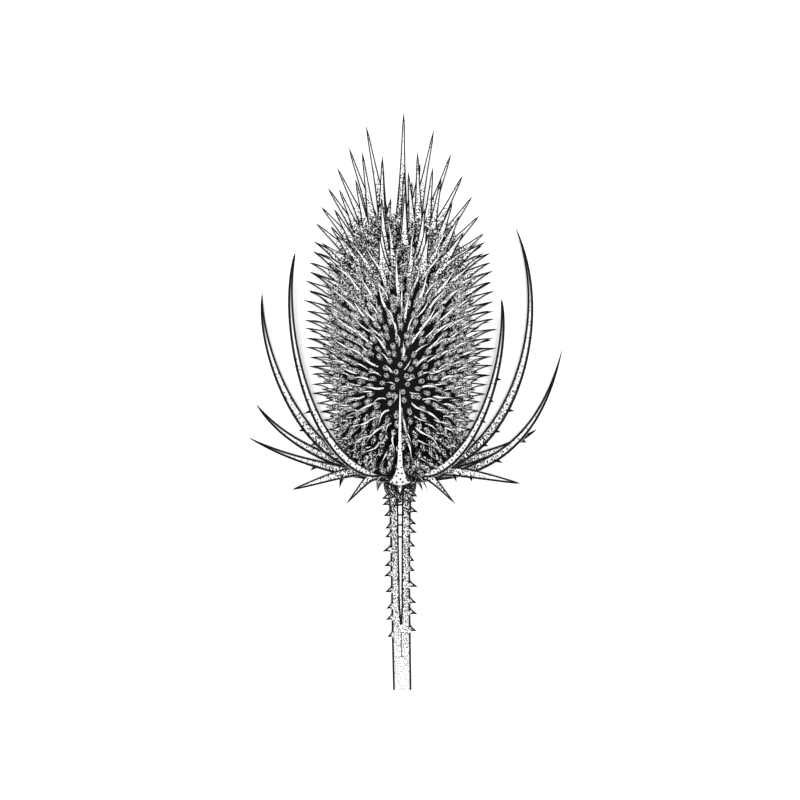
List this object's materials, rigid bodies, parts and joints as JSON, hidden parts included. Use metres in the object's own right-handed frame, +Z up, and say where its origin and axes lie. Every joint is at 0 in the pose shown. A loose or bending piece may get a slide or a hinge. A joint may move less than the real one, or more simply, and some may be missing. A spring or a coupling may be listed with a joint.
{
  "type": "teasel seed head",
  "caption": "Dried teasel seed head: an egg-shaped head packed with florets and stiff spines, with long curved bracts under it, on a short four-ridged and prickly cut stem, lying on its back.",
  "frame": {"origin": "on the surface that the plant lies on, under the middle of its bounding box", "axes": "+Y along the stem towards the tip of the head, +X to the right seen from above, +Z up"},
  "size_m": [0.0834, 0.1508, 0.0489],
  "materials": {
    "head": "dry, matt, dark between pale spines",
    "stem": "dry, matt, four-ridged",
    "bract": "dry, slightly satin, dark margins and tips"
  },
  "bodies": {
    "root": {"seed_head": "head", "stem": "stem", "bract_front": "bract", "bract_left_1": "bract", "bract_left_2": "bract", "bract_left_3": "bract", "bract_left_4": "bract", "bract_left_5": "bract", "bract_left_6": "bract", "bract_right_1": "bract", "bract_right_2": "bract", "bract_right_3": "bract", "bract_right_4": "bract", "bract_right_5": "bract", "bract_right_6": "bract", "bract_back_1": "bract", "bract_back_2": "bract", "bract_back_3": "bract"}
  },
  "joints": []
}
